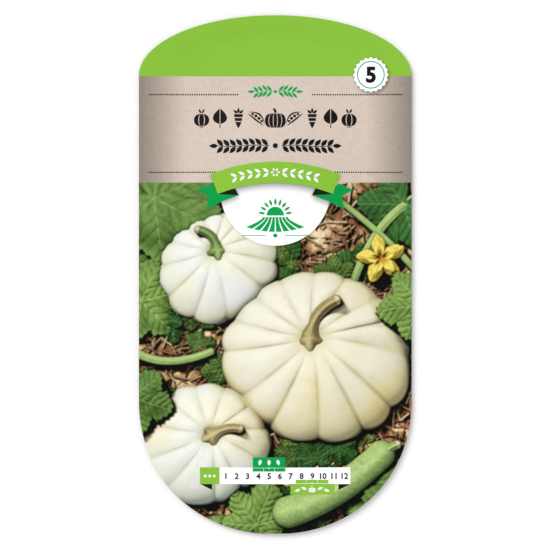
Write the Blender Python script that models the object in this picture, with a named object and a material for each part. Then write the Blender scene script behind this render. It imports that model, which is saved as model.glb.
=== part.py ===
"""A sealed paper seed packet with arched ends, lying on its back, with its seeds inside.

Metres, +Z up. The packet's length runs along Y, its tall arch is at -Y and its printed front faces +Z.
The origin lies on the surface under the packet, below the middle of its outline.
"""

import math
import random
from typing import NamedTuple

import bmesh
import bpy

# The die-cut outline, shared by the front sheet and the back sheet. An arch of power 2 is a half ellipse.
PACKET_WIDTH = 0.085
PACKET_LENGTH = 0.1617
TOP_ARCH_RISE = 0.0189
TOP_ARCH_POWER = 2.0
BOTTOM_ARCH_RISE = 0.0418
BOTTOM_ARCH_POWER = 2.1

# The pocket that holds the seeds: the seal runs round it, and the header above it is sealed as a whole
SEAL_WIDTH = 0.006
HEADER_DEPTH = 0.019
POCKET_TOP_RISE = 0.030

# Paper, glue and how full the pocket is
SHEET_THICKNESS = 0.00025
BOND_SPACE = 0.0003
GLUE_THICKNESS = 0.0001
PILLOW_HEIGHT = 0.003
RIM_LIFT = 0.0009
FLAT_SHARE = 0.6

# Seeds, in one layer
SEED_LENGTH = 0.013
SEED_WIDTH = 0.008
SEED_THICKNESS = 0.002
SEED_TAPER = 0.22
SEED_COLUMNS = 2
SEED_ROWS = 6
SEED_SPACING = 0.0145
SEED_JITTER = 0.0006
SEEDS_CENTRE_Y = -0.009
SEED_GAP = 0.0003
SEED_DRAW = 11

# Points round an outline, and rings from the middle of a piece to its edge
SIDE_STEPS = 6
ARCH_STEPS = 26
POCKET_SHARES = (0.0, 0.35, 0.5, 0.62, 0.74, 0.86, 1.0)
SEAL_SHARES = (0.12, 0.5, 0.88, 1.0)
GLUE_SHARES = SEAL_SHARES[:-1]
SEED_STEPS = 18
SEED_RINGS = ((0.0, 1.0), (0.45, 0.94), (0.74, 0.7), (0.86, 0.8), (0.96, 0.5))


def arch_side(value, power):
    """A sine or cosine bent so that it runs along an arch of this power."""
    return math.copysign(abs(value) ** (2 / power), value)


class Arched(NamedTuple):
    """A shape with straight sides between two arches, the same left and right."""

    half_width: float
    top: float
    top_rise: float
    bottom: float
    bottom_rise: float

    def ring(self, share):
        """Points round the shape, drawn in by share towards the line down its middle."""
        half_width = self.half_width * share
        points = []
        for i in range(SIDE_STEPS):
            points.append((half_width, self.bottom + (self.top - self.bottom) * i / SIDE_STEPS))
        for i in range(ARCH_STEPS):
            turn = math.pi * i / ARCH_STEPS
            x = half_width * arch_side(math.cos(turn), TOP_ARCH_POWER)
            y = self.top_rise * share * arch_side(math.sin(turn), TOP_ARCH_POWER)
            points.append((x, self.top + y))
        for i in range(SIDE_STEPS):
            points.append((-half_width, self.top + (self.bottom - self.top) * i / SIDE_STEPS))
        for i in range(ARCH_STEPS):
            turn = math.pi * i / ARCH_STEPS
            x = half_width * arch_side(math.cos(turn), BOTTOM_ARCH_POWER)
            y = self.bottom_rise * share * arch_side(math.sin(turn), BOTTOM_ARCH_POWER)
            points.append((-x, self.bottom - y))
        return points

    def share_at(self, x, y):
        """How far out a point is: 0 on the middle line, 1 on the outline."""
        across = abs(x) / self.half_width
        if y > self.top:
            along = (y - self.top) / self.top_rise
            return (across**TOP_ARCH_POWER + along**TOP_ARCH_POWER) ** (1 / TOP_ARCH_POWER)
        if y < self.bottom:
            along = (self.bottom - y) / self.bottom_rise
            return (across**BOTTOM_ARCH_POWER + along**BOTTOM_ARCH_POWER) ** (1 / BOTTOM_ARCH_POWER)
        return across


HALF_LENGTH = PACKET_LENGTH / 2
PACKET = Arched(
    half_width=PACKET_WIDTH / 2,
    top=HALF_LENGTH - TOP_ARCH_RISE,
    top_rise=TOP_ARCH_RISE,
    bottom=BOTTOM_ARCH_RISE - HALF_LENGTH,
    bottom_rise=BOTTOM_ARCH_RISE,
)
POCKET = Arched(
    half_width=PACKET.half_width - SEAL_WIDTH,
    top=HALF_LENGTH - HEADER_DEPTH - POCKET_TOP_RISE,
    top_rise=POCKET_TOP_RISE,
    bottom=PACKET.bottom,
    bottom_rise=PACKET.bottom_rise - SEAL_WIDTH,
)


def smooth_step(value):
    value = min(max(value, 0.0), 1.0)
    return value * value * (3 - 2 * value)


def underside(x, y):
    """The outer face of the back sheet: flat where the packet lies, and turned up a little at its rim."""
    beyond_flat = (PACKET.share_at(x, y) - FLAT_SHARE) / (1 - FLAT_SHARE)
    return RIM_LIFT * smooth_step(beyond_flat)


def back_inside(x, y):
    return underside(x, y) + SHEET_THICKNESS


def glue_underside(x, y):
    return back_inside(x, y) + (BOND_SPACE - GLUE_THICKNESS) / 2


def glue_top(x, y):
    return glue_underside(x, y) + GLUE_THICKNESS


def front_inside(x, y):
    """The inner face of the front sheet: bonded at the seal, and raised over the pocket by the seeds."""
    share = min(POCKET.share_at(x, y), 1.0)
    return back_inside(x, y) + BOND_SPACE + PILLOW_HEIGHT * (1 - share**2) ** 2


def front_face(x, y):
    return front_inside(x, y) + SHEET_THICKNESS


def seal_ring(share):
    """A ring between the pocket's edge, at share 0, and the packet's outline, at share 1."""
    return [
        (x0 + (x1 - x0) * share, y0 + (y1 - y0) * share)
        for (x0, y0), (x1, y1) in zip(POCKET.ring(1.0), PACKET.ring(1.0), strict=True)
    ]


def bridge(bm, first, second):
    """Faces between two rings of vertices, facing up where the second ring is the wider one."""
    count = len(first)
    for i in range(count):
        after = (i + 1) % count
        bm.faces.new((first[i], second[i], second[after], first[after]))


def finished_mesh(name, bm, finish):
    """A closed smooth mesh: points that fall together are joined, and it takes the material given."""
    bmesh.ops.remove_doubles(bm, verts=bm.verts, dist=1e-6)
    bmesh.ops.dissolve_degenerate(bm, edges=bm.edges, dist=1e-7)
    bmesh.ops.recalc_face_normals(bm, faces=bm.faces)
    mesh = bpy.data.meshes.new(name)
    bm.to_mesh(mesh)
    bm.free()
    mesh.materials.append(finish)
    mesh.shade_smooth()
    mesh.set_sharp_from_angle(angle=math.radians(40))
    return mesh


def layered_mesh(name, rings, lower, upper, finish, has_hole=False):
    """A closed sheet over concentric rings, between the heights that lower and upper give."""
    bm = bmesh.new()
    below = [[bm.verts.new((x, y, lower(x, y))) for x, y in ring] for ring in rings]
    above = [[bm.verts.new((x, y, upper(x, y))) for x, y in ring] for ring in rings]
    for inner, outer in zip(above, above[1:]):
        bridge(bm, inner, outer)
    for inner, outer in zip(below, below[1:]):
        bridge(bm, outer, inner)
    bridge(bm, above[-1], below[-1])
    if has_hole:
        bridge(bm, below[0], above[0])
    return finished_mesh(name, bm, finish)


def seed_outline():
    """Points round the seed's egg-shaped outline, whose narrow end is at +X."""
    points = []
    for i in range(SEED_STEPS):
        turn = 2 * math.pi * i / SEED_STEPS
        x = math.cos(turn) * SEED_LENGTH / 2
        y = math.sin(turn) * SEED_WIDTH / 2 * (1 - SEED_TAPER * math.cos(turn))
        points.append((x, y))
    return points


def seed_mesh(finish):
    """A flat squash seed: a low dome inside a raised margin, the same above and below."""
    bm = bmesh.new()
    outline = seed_outline()
    edge = [bm.verts.new((x, y, 0.0)) for x, y in outline]
    for side in (1, -1):
        half = side * SEED_THICKNESS / 2
        rings = [
            [bm.verts.new((x * share, y * share, half * height)) for x, y in outline]
            for share, height in SEED_RINGS
        ]
        for inner, outer in zip(rings, [*rings[1:], edge]):
            bridge(bm, inner, outer)
    return finished_mesh("seed", bm, finish)


def material(name, colour, roughness):
    made = bpy.data.materials.new(name)
    made.use_nodes = True
    shader = made.node_tree.nodes["Principled BSDF"]
    shader.inputs["Base Color"].default_value = (*colour, 1.0)
    shader.inputs["Roughness"].default_value = roughness
    shader.inputs["Metallic"].default_value = 0.0
    return made


def add(name, mesh):
    obj = bpy.data.objects.new(name, mesh)
    bpy.context.scene.collection.objects.link(obj)
    return obj


def add_sheets():
    """The two die-cut sheets of paper that make the packet."""
    rings = [POCKET.ring(share) for share in POCKET_SHARES] + [seal_ring(share) for share in SEAL_SHARES]
    printed = material("printed_paper", (0.52, 0.42, 0.32), 0.45)
    plain = material("plain_paper", (0.72, 0.65, 0.56), 0.6)
    add("front_sheet", layered_mesh("front_sheet", rings, front_inside, front_face, printed))
    add("back_sheet", layered_mesh("back_sheet", rings, underside, back_inside, plain))


def add_glue():
    """The seal: a band of glue between the sheets, all round the pocket and over the whole header."""
    rings = [seal_ring(share) for share in GLUE_SHARES]
    clear = material("dry_glue", (0.80, 0.76, 0.66), 0.35)
    add("seal_glue", layered_mesh("seal_glue", rings, glue_underside, glue_top, clear, has_hole=True))


def add_seeds():
    """Loose seeds in one layer on the back sheet, each turned its own way."""
    draw = random.Random(SEED_DRAW)
    mesh = seed_mesh(material("seed_shell", (0.80, 0.68, 0.46), 0.55))
    resting_height = SHEET_THICKNESS + SEED_GAP + SEED_THICKNESS / 2
    for row in range(SEED_ROWS):
        for column in range(SEED_COLUMNS):
            x = (column - (SEED_COLUMNS - 1) / 2) * SEED_SPACING
            y = (row - (SEED_ROWS - 1) / 2) * SEED_SPACING + SEEDS_CENTRE_Y
            number = row * SEED_COLUMNS + column + 1
            seed = add(f"seed_{number:02d}", mesh)
            seed.location = (
                x + draw.uniform(-SEED_JITTER, SEED_JITTER),
                y + draw.uniform(-SEED_JITTER, SEED_JITTER),
                resting_height,
            )
            seed.rotation_euler = (0.0, 0.0, draw.uniform(0.0, 2 * math.pi))


def main():
    for obj in list(bpy.data.objects):
        bpy.data.objects.remove(obj)
    add_sheets()
    add_glue()
    add_seeds()


main()
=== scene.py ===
import math
import random
from typing import NamedTuple

import bmesh
import bpy
import numpy as np
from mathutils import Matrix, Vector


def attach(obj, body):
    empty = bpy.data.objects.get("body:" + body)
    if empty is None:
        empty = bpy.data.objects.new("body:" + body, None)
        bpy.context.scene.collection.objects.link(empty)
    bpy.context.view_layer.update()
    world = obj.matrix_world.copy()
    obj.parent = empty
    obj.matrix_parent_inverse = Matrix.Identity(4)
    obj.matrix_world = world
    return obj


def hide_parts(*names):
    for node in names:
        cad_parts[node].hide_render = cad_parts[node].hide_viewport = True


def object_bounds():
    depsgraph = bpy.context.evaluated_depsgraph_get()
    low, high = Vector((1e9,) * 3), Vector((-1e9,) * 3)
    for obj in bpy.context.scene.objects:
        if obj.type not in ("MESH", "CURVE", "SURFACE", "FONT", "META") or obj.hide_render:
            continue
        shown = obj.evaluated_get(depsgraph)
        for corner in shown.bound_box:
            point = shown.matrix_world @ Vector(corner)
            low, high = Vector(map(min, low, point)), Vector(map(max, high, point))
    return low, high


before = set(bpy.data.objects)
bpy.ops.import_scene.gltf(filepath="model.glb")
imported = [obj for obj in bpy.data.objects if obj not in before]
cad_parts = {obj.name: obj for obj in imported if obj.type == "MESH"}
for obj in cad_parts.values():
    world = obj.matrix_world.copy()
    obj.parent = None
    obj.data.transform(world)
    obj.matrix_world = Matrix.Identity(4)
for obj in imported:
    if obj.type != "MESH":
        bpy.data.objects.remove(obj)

CAD_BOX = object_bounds()

# Artwork and paper are laid out in millimetres, from the middle of the packet's outline: x right, y up.
MM = 0.001
HALF_WIDTH = (CAD_BOX[1][0] - CAD_BOX[0][0]) / 2 / MM
HALF_LENGTH = (CAD_BOX[1][1] - CAD_BOX[0][1]) / 2 / MM

# The sheets, as the frame has them, with the seal pressed together as the glued paper is
TOP_ARCH_RISE = 18.9
TOP_ARCH_POWER = 2.0
BOTTOM_ARCH_RISE = 41.8
BOTTOM_ARCH_POWER = 2.1
SEAL_WIDTH = 6.0
HEADER_DEPTH = 19.0
POCKET_TOP_RISE = 30.0
SHEET_THICKNESS = 0.25
PRESSED_BOND = 0.12
GLUE_THICKNESS = 0.08
PILLOW_HEIGHT = 3.0
RIM_LIFT = 0.9
FLAT_SHARE = 0.6
PUCKER = 0.07
PUCKERS = 56
PUCKER_SPREAD = 1.7
LAYER = 0.03

# Where the printed areas meet
DOME_LINE = 61.88
PICTURE_LINE = 28.7

# How much light falls on the packet, and what its faint sheen adds, so that printed colours come out as named
PRINT_LIGHT = 1.25
SHEEN = 0.008


class Arched(NamedTuple):
    """A shape with straight sides between two arches, the same left and right."""

    half_width: float
    top: float
    top_rise: float
    bottom: float
    bottom_rise: float

    def ring(self, share, side_steps, arch_steps):
        """Points round the shape, drawn in by share towards the line down its middle."""
        half_width = self.half_width * share
        up = np.arange(side_steps) / side_steps
        turn = np.pi * np.arange(arch_steps) / arch_steps
        top_x, top_y = arch_point(turn, TOP_ARCH_POWER)
        bottom_x, bottom_y = arch_point(turn, BOTTOM_ARCH_POWER)
        x = np.concatenate((
            np.full(side_steps, half_width),
            half_width * top_x,
            np.full(side_steps, -half_width),
            -half_width * bottom_x,
        ))
        y = np.concatenate((
            self.bottom + (self.top - self.bottom) * up,
            self.top + self.top_rise * share * top_y,
            self.top + (self.bottom - self.top) * up,
            self.bottom - self.bottom_rise * share * bottom_y,
        ))
        return x, y

    def share_at(self, x, y):
        """How far out a point is: 0 on the middle line, 1 on the outline."""
        across = abs(x) / self.half_width
        above = np.clip(y - self.top, 0, None) / self.top_rise
        below = np.clip(self.bottom - y, 0, None) / self.bottom_rise
        top = (across**TOP_ARCH_POWER + above**TOP_ARCH_POWER) ** (1 / TOP_ARCH_POWER)
        bottom = (across**BOTTOM_ARCH_POWER + below**BOTTOM_ARCH_POWER) ** (1 / BOTTOM_ARCH_POWER)
        return np.where(y > self.top, top, bottom)

    def half_width_at(self, y):
        """Half the shape's width along a line across it below its top arch."""
        below = np.clip(self.bottom - y, 0, self.bottom_rise) / self.bottom_rise
        return self.half_width * (1 - below**BOTTOM_ARCH_POWER) ** (1 / BOTTOM_ARCH_POWER)


def arch_point(turn, power):
    """The place on a unit arch of this power, for a turn from its right end to its left."""
    x, y = np.cos(turn), np.sin(turn)
    return np.sign(x) * abs(x) ** (2 / power), abs(y) ** (2 / power)


PACKET = Arched(
    half_width=HALF_WIDTH,
    top=HALF_LENGTH - TOP_ARCH_RISE,
    top_rise=TOP_ARCH_RISE,
    bottom=BOTTOM_ARCH_RISE - HALF_LENGTH,
    bottom_rise=BOTTOM_ARCH_RISE,
)
POCKET = Arched(
    half_width=HALF_WIDTH - SEAL_WIDTH,
    top=HALF_LENGTH - HEADER_DEPTH - POCKET_TOP_RISE,
    top_rise=POCKET_TOP_RISE,
    bottom=PACKET.bottom,
    bottom_rise=BOTTOM_ARCH_RISE - SEAL_WIDTH,
)


def smooth(value, low=0.0, high=1.0):
    share = np.clip((value - low) / (high - low), 0, 1)
    return share * share * (3 - 2 * share)


def underside(x, y):
    """The packet's back, in millimetres above the floor: flat, with its rim turned up a little."""
    return RIM_LIFT * smooth(PACKET.share_at(x, y), FLAT_SHARE, 1.0)


def back_inside(x, y):
    return underside(x, y) + SHEET_THICKNESS


def front_inside(x, y):
    """The front sheet's inner face, with faint puckers where the pocket meets the seal."""
    share = np.clip(POCKET.share_at(x, y), 0, 1)
    pillow = PILLOW_HEIGHT * (1 - share**2) ** 2
    near_seal = share**6 * (1 - share) * 8
    wave = np.sin(PUCKERS * np.arctan2(y, x * PUCKER_SPREAD))
    return back_inside(x, y) + PRESSED_BOND + pillow + PUCKER * near_seal * wave


def front_face(x, y):
    return front_inside(x, y) + SHEET_THICKNESS


# Helpers for meshes

CREASE = math.radians(40)


def finished(bm, name):
    """The mesh that closed faces make, each facing outwards."""
    bmesh.ops.recalc_face_normals(bm, faces=bm.faces)
    mesh = bpy.data.meshes.new(name)
    bm.to_mesh(mesh)
    bm.free()
    return mesh


def add_piece(name, mesh, materials, replaced=()):
    """A new object that rides on the packet, with these materials."""
    mesh.shade_smooth()
    mesh.set_sharp_from_angle(angle=CREASE)
    for material in materials:
        mesh.materials.append(material)
    piece = bpy.data.objects.new(name, mesh)
    bpy.context.scene.collection.objects.link(piece)
    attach(piece, "root")
    if replaced:
        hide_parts(*replaced)


# Sheets of paper

SIDE_STEPS = 72
ARCH_STEPS = 96
POCKET_RINGS = 32
SEAL_RINGS = 9
INNERMOST = 0.004


def sheet_rings():
    """Rings from the middle line of the pocket out to the packet's cut edge."""
    shares = [max(i / POCKET_RINGS, INNERMOST) for i in range(POCKET_RINGS + 1)]
    rings = [POCKET.ring(share, SIDE_STEPS, ARCH_STEPS) for share in shares]
    (x, y), (edge_x, edge_y) = rings[-1], PACKET.ring(1.0, SIDE_STEPS, ARCH_STEPS)
    for i in range(1, SEAL_RINGS + 1):
        share = i / SEAL_RINGS
        rings.append((x + (edge_x - x) * share, y + (edge_y - y) * share))
    return rings


def sheet_mesh(name, rings, lower, upper, edge_material, capped=True):
    """A closed sheet over the rings. Its upper faces take the first material and its lower ones the next."""
    bm = bmesh.new()
    above, below = [], []
    for x, y in rings:
        for level, face in ((above, upper), (below, lower)):
            level.append([bm.verts.new(p) for p in np.stack((x, y, face(x, y)), axis=1) * MM])
    for inner, outer in zip(above, above[1:]):
        join_rings(bm, inner, outer, 0)
    for inner, outer in zip(below, below[1:]):
        join_rings(bm, outer, inner, 1)
    join_rings(bm, above[-1], below[-1], edge_material)
    if capped:
        close_middle(bm, above[0], 0)
        close_middle(bm, below[0], 1)
    else:
        join_rings(bm, below[0], above[0], edge_material)
    return finished(bm, name)


def join_rings(bm, first, second, material_index):
    count = len(first)
    for i in range(count):
        after = (i + 1) % count
        corners = (first[i], second[i], second[after], first[after])
        bm.faces.new(corners).material_index = material_index


def close_middle(bm, ring, material_index):
    """Fills the thin innermost ring, whose left and right halves face each other."""
    half = len(ring) // 2
    right = ring[:SIDE_STEPS + 1]
    left = ring[half:half + SIDE_STEPS + 1][::-1]
    fills = [(right[i], right[i + 1], left[i + 1], left[i]) for i in range(SIDE_STEPS)]
    for corners in (*fills, ring[SIDE_STEPS:half + 1], ring[half + SIDE_STEPS:] + ring[:1]):
        bm.faces.new(corners).material_index = material_index


# Materials


def printed(red, green, blue):
    """The surface colour that shows as this one, given as the eye sees it, under the scene's light."""
    seen = np.array((red, green, blue)) / 255
    light = np.where(seen <= 0.04045, seen / 12.92, ((seen + 0.055) / 1.055) ** 2.4)
    return (*(light / PRINT_LIGHT).tolist(), 1.0)


GREEN = printed(141, 197, 62)
DARK_GREEN = printed(0, 166, 81)
TAIL_GREEN = printed(0, 159, 73)
SEAL_GREEN = printed(58, 168, 138)
INK = printed(22, 17, 15)
FOLD_INK = printed(22, 25, 22)
RULE_INK = printed(26, 22, 21)
BACK_TAN = printed(226, 216, 200)
LABEL_WHITE = (0.88, 0.88, 0.88, 1.0)
MARK_WHITE = (0.8, 0.8, 0.8, 1.0)
PAPER_WHITE = (0.80, 0.79, 0.76, 1.0)
GLUE_YELLOW = (0.74, 0.70, 0.60, 1.0)

# The tan band's colour at some distances from the middle line
BAND_RAMP = (
    (28.0, printed(217, 201, 188)),
    (31.0, printed(205, 189, 176)),
    (33.5, printed(193, 177, 164)),
    (36.0, printed(178, 166, 152)),
    (38.4, printed(166, 154, 142)),
    (42.4, printed(148, 135, 126)),
)

# How large the finest marks in printed paper are, in metres
GRAIN = 0.00022


class Nodes:
    """A small help for building a material's nodes. Places and sizes in it are in metres."""

    def __init__(self, name, roughness, specular=0.08):
        self.material = bpy.data.materials.new(name)
        self.material.use_nodes = True
        self.tree = self.material.node_tree
        self.shader = self.tree.nodes["Principled BSDF"]
        self.roughness = roughness
        self.fill(self.shader, {"Roughness": roughness, "Specular IOR Level": specular})
        self.place = self.new("ShaderNodeNewGeometry", {})["Position"]

    def fill(self, node, inputs):
        """Sets a node's inputs to values, or links them to the outputs of other nodes."""
        for socket, value in inputs.items():
            if isinstance(value, bpy.types.NodeSocket):
                self.tree.links.new(value, node.inputs[socket])
            else:
                node.inputs[socket].default_value = value

    def new(self, kind, inputs, **settings):
        """Adds a node and gives its outputs."""
        node = self.tree.nodes.new(kind)
        for key, value in settings.items():
            setattr(node, key, value)
        self.fill(node, inputs)
        return node.outputs

    def math(self, operation, *values):
        return self.new("ShaderNodeMath", dict(enumerate(values)), operation=operation)[0]

    def vector_math(self, operation, inputs):
        return self.new("ShaderNodeVectorMath", inputs, operation=operation)

    def position(self, axis):
        return self.new("ShaderNodeSeparateXYZ", {0: self.place})[axis]

    def noise(self, size, detail=2.0, stretch=(1.0, 1.0, 1.0)):
        """Noise whose blots are about this size, longer along an axis with a stretch above 1."""
        sizes = tuple(size * s for s in stretch)
        scaled = self.vector_math("DIVIDE", {0: self.place, 1: sizes})[0]
        return self.new("ShaderNodeTexNoise", {"Vector": scaled, "Scale": 1.0, "Detail": detail})["Fac"]

    def mix(self, share, first, second):
        return self.new("ShaderNodeMix", {0: share, 6: first, 7: second}, data_type="RGBA")[2]

    def scale(self, colour, factor):
        """The colour times a number at each place."""
        colour = colour[:3] if isinstance(colour, tuple) else colour
        return self.vector_math("SCALE", {0: colour, "Scale": factor})[0]

    def ease(self, value, start, end, first, last, kind="LINEAR"):
        """Goes from first, where a value is start, to last, where it is end."""
        inputs = {"Value": value, "From Min": start, "From Max": end, "To Min": first, "To Max": last}
        return self.new("ShaderNodeMapRange", inputs, interpolation_type=kind)[0]

    def fade(self, length, start, end, first, last):
        """Eases softly from first, where a length is start millimetres, to last, where it is end."""
        return self.ease(length, start * MM, end * MM, first, last, "SMOOTHSTEP")

    def vary(self, noise, amount, base=1.0):
        """Turns noise into numbers round base, base - amount to base + amount."""
        return self.ease(noise, 0.25, 0.75, base - amount, base + amount)

    def mottle(self, colour, *parts):
        """The colour, lighter and darker with each part's noise by its amount."""
        for noise, amount in parts:
            colour = self.scale(colour, self.vary(noise, amount))
        return colour

    def finish(self, colour, bumps, strength=0.25, depth=0.00002, gloss=None):
        """Sets the colour, the fine relief that the values in bumps add up to, and uneven gloss."""
        height = bumps[0]
        for more in bumps[1:]:
            height = self.math("ADD", height, more)
        relief = self.new("ShaderNodeBump", {"Strength": strength, "Distance": depth, "Height": height})[0]
        self.fill(self.shader, {"Base Color": colour, "Normal": relief})
        if gloss:
            self.fill(self.shader, {"Roughness": self.vary(gloss, 0.06, self.roughness)})
        return self.material


def ink_material(name, colour, roughness=0.42, mottle=0.035):
    """Ink on coated paper: a flat colour with faint mottling, grain and uneven gloss."""
    nodes = Nodes(name, roughness)
    blots = nodes.noise(0.0022, detail=3)
    grain = nodes.noise(GRAIN, detail=1)
    mottled = nodes.mottle(colour, (blots, mottle), (grain, mottle * 0.8))
    return nodes.finish(mottled, [grain, blots], gloss=blots)


def crossed_fibres(nodes, size, stretch, detail):
    """Two noises of fibres, one along the paper and one across it."""
    return [nodes.noise(size, detail, stretches) for stretches in ((stretch, 1, 1), (1, stretch, 1))]


def bare_paper_material(name, colour, dome=None):
    """Uncoated paper with fibres that run both ways. dome is the colour of a print above the dome line."""
    nodes = Nodes(name, 0.7, specular=0.2)
    if dome:
        colour = nodes.mix(above_dome_line(nodes), colour, dome)
    along, across = crossed_fibres(nodes, 0.00035, 4, 3)
    fibres = nodes.math("MULTIPLY", nodes.math("ADD", along, across), 0.5)
    tinted = nodes.mottle(colour, (fibres, 0.05), (nodes.noise(0.006), 0.03))
    return nodes.finish(tinted, [along, across], strength=0.4)


def above_dome_line(nodes):
    return nodes.math("GREATER_THAN", nodes.position(1), DOME_LINE * MM)


def plan_distance(nodes, x, y):
    """How far each place lies from x, y, seen from above."""
    flat = nodes.vector_math("MULTIPLY", {0: nodes.place, 1: (1, 1, 0)})[0]
    return nodes.vector_math("DISTANCE", {0: flat, 1: (x * MM, y * MM, 0)})["Value"]


def past_line(nodes, start, end):
    """How far each place lies to the right of a line on the packet's right half, or its mirror image."""
    (x0, y0), (x1, y1) = start, end
    run = math.hypot(x1 - x0, y1 - y0)
    along_x, along_y = (x1 - x0) / run, (y1 - y0) / run
    beside = nodes.math("MULTIPLY", nodes.math("ABSOLUTE", nodes.position(0)), along_y)
    leaned = nodes.math("MULTIPLY_ADD", nodes.position(1), -along_x, beside)
    return nodes.math("SUBTRACT", leaned, (x0 * along_y - y0 * along_x) * MM)


def felt_colour(nodes):
    """The tan band: light in the middle, darker to both sides, with a fine felt of crossed fibres."""
    side = nodes.math("MULTIPLY", nodes.math("ABSOLUTE", nodes.position(0)), 1 / (HALF_WIDTH * MM))
    tan = nodes.new("ShaderNodeValToRGB", {"Fac": side})["Color"]
    marks = tan.node.color_ramp.elements
    while len(marks) < len(BAND_RAMP):
        marks.new(0.5)
    for mark, (x, colour) in zip(marks, BAND_RAMP):
        mark.position = x / HALF_WIDTH
        mark.color = colour
    along, across = crossed_fibres(nodes, 0.00042, 3.2, 2)
    blots = nodes.noise(0.0016, detail=3)
    return nodes.mottle(tan, (along, 0.05), (across, 0.05), (blots, 0.03)), along, across


SEAL_X, SEAL_Y = 29.8, 62.35
SEAL_TIP, SEAL_DIP = 5.54, 5.0
SEAL_TEETH = 20
SEAL_RING = (4.32, 3.98)


def seal_shadow(nodes):
    """How much light the printed shadow of the seal leaves, 1 where there is none."""
    distance = plan_distance(nodes, SEAL_X + 0.35, SEAL_Y - 0.45)
    return nodes.fade(distance, SEAL_DIP - 0.4, SEAL_TIP + 0.8, 0.42, 1.0)


def ribbon_end_shadow(nodes):
    """How much light the printed shadow beside the ribbon's two ends leaves on the band."""
    beside = past_line(nodes, RIBBON_BOTTOM[:2], RIBBON_TOP[:2])
    lost = nodes.fade(beside, -0.8, 1.3, 0.5, 0.0)
    low = nodes.fade(nodes.position(1), 30.0, 31.8, 1.0, 0.0)
    return nodes.math("MULTIPLY_ADD", nodes.math("MULTIPLY", lost, low), -1.0, 1.0)


def front_print_material():
    """The front's print above the picture: the green dome over the tan band."""
    nodes = Nodes("front_print", 0.45)
    tan, along, across = felt_colour(nodes)
    blots = nodes.noise(0.0024, detail=3)
    grain = nodes.noise(GRAIN, detail=1)
    green = nodes.mottle(GREEN, (blots, 0.02), (grain, 0.02))
    shadow = nodes.math("MULTIPLY", seal_shadow(nodes), ribbon_end_shadow(nodes))
    colour = nodes.scale(nodes.mix(above_dome_line(nodes), tan, green), shadow)
    return nodes.finish(colour, [along, across, grain], gloss=blots)


def picture_material():
    """The printed picture, whose colours the still life below gives, with the print's own grain."""
    nodes = Nodes("picture_print", 0.40)
    colours = nodes.new("ShaderNodeAttribute", {}, attribute_name="print")["Color"]
    blots = nodes.noise(0.003, detail=3)
    grain = nodes.noise(0.0002, detail=1)
    return nodes.finish(nodes.mottle(colours, (grain, 0.05), (blots, 0.02)), [grain, blots], gloss=blots)


# The still life in the picture: a height, a colour and a gloss at each place of a fine grid

STEP = 0.125
LEFT, RIGHT, LOW, HIGH = -42.75, 42.75, -81.25, 29.0


def blend(first, second, share):
    share = np.asarray(share)[..., None]
    return np.asarray(first) * (1 - share) + np.asarray(second) * share


def peak(distance, width):
    """1 where a distance is 0, falling away smoothly to nearly 0 at twice this width."""
    return np.exp(-((distance / width) ** 2))


def turned(x, y, turn):
    """The places along and across an axis that is turned this far from x."""
    return x * math.cos(turn) + y * math.sin(turn), y * math.cos(turn) - x * math.sin(turn)


def cloud(x, y, size, seed, octaves=3):
    """Smooth random values round 0, mostly within 1 of it, whose largest blots are size across."""
    cells = 64
    total = np.zeros(np.broadcast(x, y).shape)
    for octave in range(octaves):
        lattice = np.random.default_rng(seed + octave).uniform(-1, 1, (cells, cells))
        u = x / size * 2**octave + 17.3
        v = y / size * 2**octave + 5.7
        column, row = np.floor(u).astype(int), np.floor(v).astype(int)
        a, b = smooth(u - column), smooth(v - row)
        c0, c1, r0, r1 = column % cells, (column + 1) % cells, row % cells, (row + 1) % cells
        low = lattice[r0, c0] * (1 - a) + lattice[r0, c1] * a
        high = lattice[r1, c0] * (1 - a) + lattice[r1, c1] * a
        total += (low * (1 - b) + high * b) * 0.5**octave
    return total / 1.5


class StillLife:
    """Everything in the picture, seen from above: the highest thing shows at each place."""

    def __init__(self):
        columns, rows = (np.arange(round(size / STEP)) + 0.5 for size in (RIGHT - LEFT, HIGH - LOW))
        self.x, self.y = np.meshgrid(LEFT + columns * STEP, LOW + rows * STEP)
        self.height = np.zeros(self.x.shape)
        self.gloss = np.zeros(self.x.shape)
        self.colour = np.zeros((*self.x.shape, 3))

    def window(self, x, y, reach):
        """The part of the grid within reach of a point, and its places from that point."""
        spans = []
        for middle, count in zip((y - LOW, x - LEFT), self.x.shape):
            first, last = int((middle - reach) / STEP), int((middle + reach) / STEP)
            spans.append(slice(min(max(first, 0), count), min(max(last + 1, 0), count)))
        part = tuple(spans)
        return part, self.x[part] - x, self.y[part] - y

    def lay(self, part, height, colour, inside, gloss=0.0):
        """Puts something where it stands higher than what is there."""
        shows = inside & (height > self.height[part])
        self.height[part] = np.where(shows, height, self.height[part])
        self.gloss[part] = np.where(shows, gloss, self.gloss[part])
        self.colour[part] = np.where(shows[..., None], colour, self.colour[part])


def lay_soil(still):
    clods = cloud(still.x, still.y, 5.0, 3, octaves=5)
    still.height = 1.2 * clods
    # Painted sunlight: the soil is painted lighter on its raised clods, and broad random patches vary its own
    # tone
    painted_sun_and_tone = smooth(clods + 0.4 * cloud(still.x, still.y, 9.0, 8), -0.5, 0.6)
    tint = blend((0.22, 0.12, 0.06), (0.80, 0.54, 0.32), painted_sun_and_tone)
    still.colour = tint * (1 + 0.25 * cloud(still.x, still.y, 0.6, 12))[..., None]


STRAW_COLOURS = (
    (0.50, 0.33, 0.20),
    (0.30, 0.14, 0.08),
    (0.54, 0.42, 0.27),
    (0.17, 0.09, 0.05),
    (0.22, 0.22, 0.09),
    (0.38, 0.22, 0.14),
)


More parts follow.
